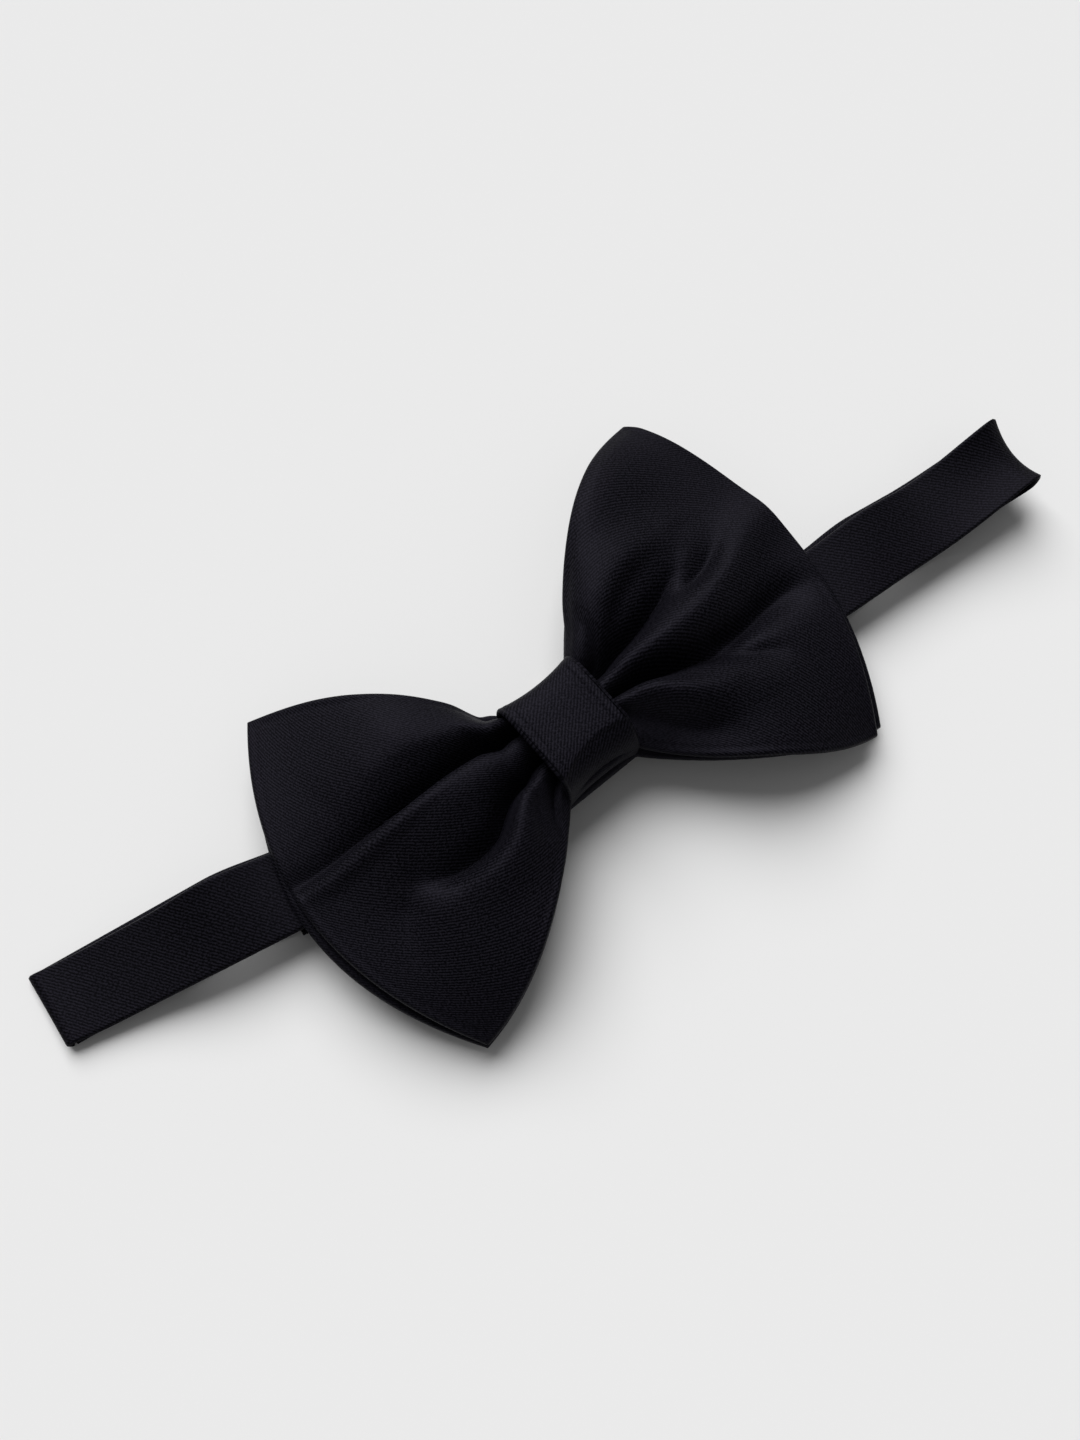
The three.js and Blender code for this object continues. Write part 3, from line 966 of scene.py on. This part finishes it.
def dress(node: str, material: bpy.types.Material) -> None:
    """Give a CAD node a better material.

    Args:
        node: The node's name.
        material: The material.
    """
    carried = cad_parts[node]
    if not carried.material_slots:
        carried.data.materials.append(material)
    for place in carried.material_slots:
        place.material = material
    LOG.info("dressed %s", node)


# ---- Neckband ----


def mid(node: str) -> Vector:
    """Find the middle of a CAD node's box, in millimetres."""
    low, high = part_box(node)
    return (low + high) / 2 / MM


def ends(node: str) -> tuple[float, float]:
    """Find where a CAD node starts and ends along the neckband, in millimetres."""
    low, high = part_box(node)
    return low.x / MM, high.x / MM


def half_turn(x: float, z: float, radius: float, side: int, steps: int = 16) -> list[tuple[float, float]]:
    """List points round a half circle in side view, from its lowest point to its highest.

    Args:
        x: Middle of the circle along the band.
        z: Middle of the circle's height.
        radius: Radius of the circle.
        side: 1 to turn round on the right and -1 on the left.
        steps: Number of steps.

    Returns:
        The (x, z) points, in the units of the radius.
    """
    angles = np.linspace(-math.pi / 2, math.pi / 2, steps + 1)
    return [(x + side * radius * math.cos(a), z + radius * math.sin(a)) for a in angles]


@dataclass
class Strap:
    """A stretch of the neckband: a sewn tube of satin, pressed flat, that follows a line in side view."""

    name: str
    line: list[tuple[float, float]]
    lower_y_mm: float
    knot_y_mm: float
    fold_shift_mm: float = 6.3
    width_mm: float = 16.0
    thickness_mm: float = 0.96
    step_mm: float = 0.4
    steps_across: int = 33
    curled_end_mm: float = 0.0
    wave_mm: float = 0.0
    end_lift_mm: float = 3.4
    roll_left: float = 0.0
    roll_right: float = 0.0
    roll_x_mm: float = 74.0  # how far from the origin the strap rolls, just outside each wing
    roll_length_mm: float = 9.0

    def smooth_line(self) -> tuple[np.ndarray, np.ndarray]:
        """Space points evenly along the line and round its corners.

        Returns:
            The points, as x and z in millimetres, and the distance along the strap of each.
        """
        corners = np.array(self.line, float)
        gaps = np.linalg.norm(np.diff(corners, axis=0), axis=1)
        at = np.concatenate([[0], np.cumsum(gaps)])
        even = np.linspace(0, at[-1], max(int(at[-1] / self.step_mm), 4) + 1)
        line = np.stack([np.interp(even, at, corners[:, i]) for i in (0, 1)], -1)
        kernel = np.array([1, 2, 3, 2, 1]) / 9
        for _ in range(2):
            held = np.concatenate([[line[0]] * 2, line, [line[-1]] * 2])
            soft = np.stack([np.convolve(held[:, i], kernel, "valid") for i in (0, 1)], -1)
            soft[0], soft[-1] = line[0], line[-1]
            line = soft
        return line, even

    def middle_y(self, x: np.ndarray, z: np.ndarray) -> np.ndarray:
        """Give the strap's middle across the row frame: the upper layer drifts sideways towards each fold."""
        reach = np.where(x < 0, ends("neckband_left_fold")[0], ends("neckband_front")[1])
        upper = self.knot_y_mm + self.fold_shift_mm * (x / reach) ** 2
        # The height at which a layer counts as the upper one: the left-hand end is pressed flatter.
        full = np.where(x < 0, 1.8, 6.8)
        # Beyond the closure the lower layer drifts with the upper one.
        at_end = smoothstep(56, 76, np.abs(x))
        lower = lerp(self.lower_y_mm, self.knot_y_mm + self.fold_shift_mm, at_end)
        return lerp(lower, upper, smoothstep(0.0, 1.0, (z - 0.9) / (full - 0.9)))

    def build(self) -> bpy.types.Object:
        """Build the strap as one closed tube.

        Returns:
            The strap's object.
        """
        line, distance = self.smooth_line()
        heading = np.gradient(line, axis=0)
        heading /= np.linalg.norm(heading, axis=1, keepdims=True)
        up = np.stack([-heading[:, 1], heading[:, 0]], -1)
        rank = np.linspace(-1, 1, self.steps_across)
        across = np.sin(rank * np.pi / 2) * 0.35 + rank * 0.65
        half_width = self.width_mm / 2
        share = np.clip((1 - np.abs(across)) * half_width / (self.thickness_mm / 2), 0, 1)
        half = self.thickness_mm / 2 * np.sqrt(1 - (1 - share) ** 2)
        ring_across = np.concatenate([across, across[-2:0:-1]])
        ring_side = np.concatenate([half, -half[-2:0:-1]])
        middle = self.middle_y(line[:, 0], line[:, 1])
        x = line[:, 0, None] + up[:, 0, None] * ring_side
        z = line[:, 1, None] + up[:, 1, None] * ring_side
        y = middle[:, None] + ring_across * half_width
        points = self.settle(np.stack([x, y, z], -1), ring_across[None, :])
        rows, columns = x.shape
        faces = []
        for i in range(rows - 1):
            for j in range(columns):
                a, k = i * columns, (j + 1) % columns
                faces.append((a + j, a + k, a + columns + k, a + columns + j))
        faces.append(tuple(range(columns))[::-1])
        faces.append(tuple((rows - 1) * columns + j for j in range(columns)))
        weave = np.stack(np.broadcast_arrays(distance[:, None], ring_across * half_width), -1)
        return new_mesh(self.name, points.reshape(-1, 3) * MM, faces, weave.reshape(-1, 2) * MM)

    def settle(self, points: np.ndarray, across: np.ndarray) -> np.ndarray:
        """Let the strap lie as cloth does: with soft waves, and a curl at its right-hand fold.

        Args:
            points: The strap's points in millimetres.
            across: How far across the strap each point lies, from -1 to 1.

        Returns:
            The moved points.
        """
        x, y, z = (points[..., i].copy() for i in range(3))
        raised = smoothstep(1.5, 6.0, z)
        away = smoothstep(62, 80, np.abs(x))
        ripple = np.sin(x / 7.3) * 0.5 + np.sin(x / 4.1 + 1) * 0.25
        # The loop's right-hand end lifts off the table and closes up.
        z += self.end_lift_mm * smoothstep(86, 109, x) * (1 - np.clip(z / 7.3, 0, 1))
        z += self.wave_mm * raised * away * ripple * (1 + 0.6 * across)
        y += self.wave_mm * raised * away * 0.6 * np.sin(x / 9.0 + 0.6)
        # Next to the bow the strap rolls a little, so that its upper edge stands up.
        roll_at_left = self.roll_left * bell(x, -self.roll_x_mm, self.roll_length_mm)
        roll_at_right = self.roll_right * bell(x, self.roll_x_mm, self.roll_length_mm)
        z += (across + 0.9) * self.width_mm / 2 * (roll_at_left + roll_at_right) * raised
        # The upper layer tilts the other way where it meets the left-hand fold.
        tilt = self.roll_left * 0.4 * smoothstep(-90, -109, x) * smoothstep(0.8, 1.8, z)
        z -= across * self.width_mm / 2 * tilt
        # The right-hand fold curls up, most of all at its two edges.
        curl = self.curled_end_mm * smoothstep(84, 112, x)
        z += curl * (0.35 + 0.65 * raised) * (0.4 + across**2)
        x -= 0.25 * curl * smoothstep(100, 111, x) * (1 - across**2)
        x -= 0.6 * across * smoothstep(-100, -111, x)
        return np.stack([x, y, z], -1)


@dataclass
class Neckband:
    """The neckband: one strap doubled into a loop, with its closure and its adjuster."""

    cloth: bpy.types.Material
    thread: bpy.types.Material
    lower_z: float = 0.5
    doubled_z: float = 1.6
    bar_z: float = 1.5
    over_bar_z: float = 2.5
    left_radius: float = 0.8
    right_radius: float = 3.4
    knot_z: float = 8.4

    def strap(
        self, name: str, line: list[tuple[float, float]], nodes: tuple[str, ...], **more: float
    ) -> bpy.types.Object:
        """Build a strap, dress it and hide the CAD nodes that it stands for.

        Args:
            name: The strap's name.
            line: Its line in side view.
            nodes: The CAD nodes it replaces.
            more: Other sizes of the strap.

        Returns:
            The strap's object.
        """
        made = Strap(name, line, mid("long_side").y, mid("knot_wrap").y, **more).build()
        made.data.materials.append(self.cloth)
        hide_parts(*nodes)
        LOG.info("built %s", made.name)
        return made

    def front(self) -> None:
        """Build the upper layer with both folds, from the left one through the knot to the right one."""
        left = ends("neckband_left_fold")[0] + self.left_radius + 0.5
        right = ends("neckband_front")[1] - self.right_radius - 0.5
        left_z = self.lower_z + 2 * self.left_radius
        right_z = self.lower_z + 2 * self.right_radius
        knot_x = mid("knot_wrap").x
        top = []
        for x in np.linspace(left + 1, right - 1, 90):
            level = lerp(left_z, right_z, float(smoothstep(left, left + 36, x)))
            top.append((x, lerp(self.knot_z, level, float(smoothstep(10, 40, abs(x - knot_x))))))
        line = (
            half_turn(left, self.lower_z + self.left_radius, self.left_radius, -1)
            + top
            + half_turn(right, self.lower_z + self.right_radius, self.right_radius, 1)[::-1]
            + [(ends("long_side")[1] + 0.2, self.lower_z)]
        )
        nodes = ("neckband_front", "neckband_left_run", "neckband_left_fold")
        made = self.strap(
            "neckband_front_cloth",
            line,
            nodes,
            wave_mm=0.35,
            curled_end_mm=2.4,
            roll_left=0.2,
            roll_right=0.16,
        )
        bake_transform(made)

    def long_side(self) -> None:
        """Build the lower layer from the right-hand fold to the adjuster."""
        start, end = ends("long_side")
        line = [(end + 0.2, self.lower_z), (start - 0.3, self.lower_z)]
        made = self.strap("long_side_cloth", line, ("long_side",))
        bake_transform(made)

    def doubled(self) -> None:
        """Build the doubled stretch: through the adjuster to the hook, round its bar and back to be sewn."""
        adjuster = mid("adjuster").x
        adjuster_left, adjuster_right = ends("adjuster")
        bar = ends("hook")[1] - 0.6
        over = self.over_bar_z + 1.1
        line = [
            (adjuster_right, self.lower_z),
            (adjuster + 4.6, self.lower_z),
            (adjuster + 3.6, self.lower_z + 0.6),
            (adjuster + 2.3, over - 1.0),
            (adjuster + 0.9, over),
            (adjuster - 1.6, over),
            (adjuster - 3.4, self.over_bar_z + 0.35),
            (adjuster_left - 0.4, self.over_bar_z),
            (adjuster_left - 2.0, self.doubled_z),
            (bar + 3.4, self.doubled_z),
            (bar + 1.6, self.over_bar_z),
            *half_turn(bar - 0.4, self.bar_z, 1.0, -1)[::-1],
            (adjuster_left + 2.0, self.lower_z),
            *half_turn(adjuster + 0.4, self.bar_z, 1.0, 1),
            (adjuster - 1.2, self.over_bar_z - 0.05),
        ]
        nodes = ("adjuster_over_strap", "running_strap", "hook_loop", "sewn_run", "adjuster_sewn_end")
        made = self.strap("doubled_strap_cloth", line, nodes, step_mm=0.3)
        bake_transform(made)

    def short_side(self) -> None:
        """Build the lower layer on the short side, and its end round the eye."""
        start, end = ends("short_side")
        tip = ends("short_side_end")[1]
        made = self.strap(
            "short_side_cloth",
            [(start - 0.3, self.lower_z), (tip + 0.15, self.lower_z)],
            ("short_side", "short_side_end"),
        )
        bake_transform(made)
        bar = ends("eye")[0] + 0.6
        line = [
            (tip + 0.15, self.lower_z),
            *half_turn(bar + 0.4, self.bar_z, 1.0, 1),
            (bar - 1.6, self.over_bar_z),
            (bar - 3.4, self.doubled_z),
            (bar - 7.5, self.doubled_z),
        ]
        loop = self.strap("eye_loop_cloth", line, ("eye_lead", "eye_loop"), step_mm=0.3)
        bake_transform(loop)

    def build(self) -> None:
        """Build every stretch of the band."""
        self.front()
        self.long_side()
        self.doubled()
        self.short_side()
        dress("eye_bartack", self.thread)


# ---- Setting ----


@dataclass
class Studio:
    """The table, the light and the camera."""

    azimuth: float = math.radians(-31.1)
    elevation: float = math.radians(70)
    distance: float = 0.28
    lens_mm: float = 35.0
    aim_from_knot_mm: tuple[float, float] = (-0.8, 8.9)

    def table(self) -> None:
        """Lay a plain pale table top."""
        bpy.ops.mesh.primitive_plane_add(size=6)
        top = bpy.context.active_object
        top.name = "table_top"
        made = bpy.data.materials.new("matt_white_laminate")
        made.use_nodes = True
        shader = made.node_tree.nodes["Principled BSDF"]
        shader.inputs["Base Color"].default_value = linear("#e7e7e7")
        shader.inputs["Roughness"].default_value = 0.9
        shader.inputs["Specular IOR Level"].default_value = 0.0
        top.data.materials.append(made)

    def lights(self) -> None:
        """Hang a broad soft key on the +Y side and a weak overhead light, with an even fill all round."""
        world = bpy.data.worlds.new("studio")
        bpy.context.scene.world = world
        world.use_nodes = True
        back = world.node_tree.nodes["Background"]
        back.inputs["Color"].default_value = (1, 1, 1, 1)
        back.inputs["Strength"].default_value = 0.1
        self.sun("key", energy=3.55, spread=54, azimuth=10, height=49)
        self.sun("overhead", energy=0.25, spread=150, azimuth=0, height=88)

    def sun(self, name: str, energy: float, spread: float, azimuth: float, height: float) -> None:
        """Hang a distant soft light.

        Args:
            name: The light's name.
            energy: Strength in watts per square metre.
            spread: Its apparent width, in degrees.
            azimuth: Its direction from +Y towards +X, in degrees.
            height: Its angle above the table, in degrees.
        """
        azimuth, height = math.radians(azimuth), math.radians(height)
        lamp = bpy.data.lights.new(name, "SUN")
        lamp.energy = energy
        lamp.angle = math.radians(spread)
        hung = bpy.data.objects.new(name, lamp)
        bpy.context.scene.collection.objects.link(hung)
        level = math.cos(height)
        toward = Vector((math.sin(azimuth) * level, math.cos(azimuth) * level, math.sin(height)))
        hung.rotation_mode = "QUATERNION"
        hung.rotation_quaternion = toward.to_track_quat("Z", "Y")

    def camera(self, centre: Vector) -> None:
        """Stand the camera at its viewpoint.

        Args:
            centre: The middle of the knot on the table.
        """
        data = bpy.data.cameras.new("camera")
        data.lens = self.lens_mm
        data.sensor_width = 36.0
        data.clip_start = 0.01
        placed = bpy.data.objects.new("camera", data)
        bpy.context.scene.collection.objects.link(placed)
        back = Vector(
            (
                math.sin(self.azimuth) * math.cos(self.elevation),
                -math.cos(self.azimuth) * math.cos(self.elevation),
                math.sin(self.elevation),
            )
        )
        aim = centre + Vector((*self.aim_from_knot_mm, 0)) * MM
        placed.location = aim + back * self.distance
        placed.rotation_mode = "QUATERNION"
        placed.rotation_quaternion = (-back).to_track_quat("-Z", "Y")
        bpy.context.scene.camera = placed

    def build(self, centre: Vector) -> None:
        """Set the whole scene round the bow tie."""
        self.camera(centre)
        self.table()
        self.lights()
        bpy.context.scene.view_settings.view_transform = "Standard"


def main() -> None:
    """Build the bow tie and its setting."""
    logging.basicConfig(level=logging.INFO)
    bow_satin = SatinTwill("polyester_satin_twill_bow", "#010102", "#1a191f").material()
    # The band is the bow's own satin, copied with darker twill lines as painted shade on the flat strap.
    band_satin_painted_shade = SatinTwill("polyester_satin_twill_band_painted_shade", "#010101", "#17161c").material()
    thread = SpunThread().material()
    metal = NickelPlate().material()
    bow = Bow(bow_satin, thread)
    Studio().build(bow.centre())
    bow.build()
    Neckband(band_satin_painted_shade, thread).build()
    for name in ("hook", "eye", "adjuster"):
        dress(name, metal)


if __name__ == "__main__":
    main()
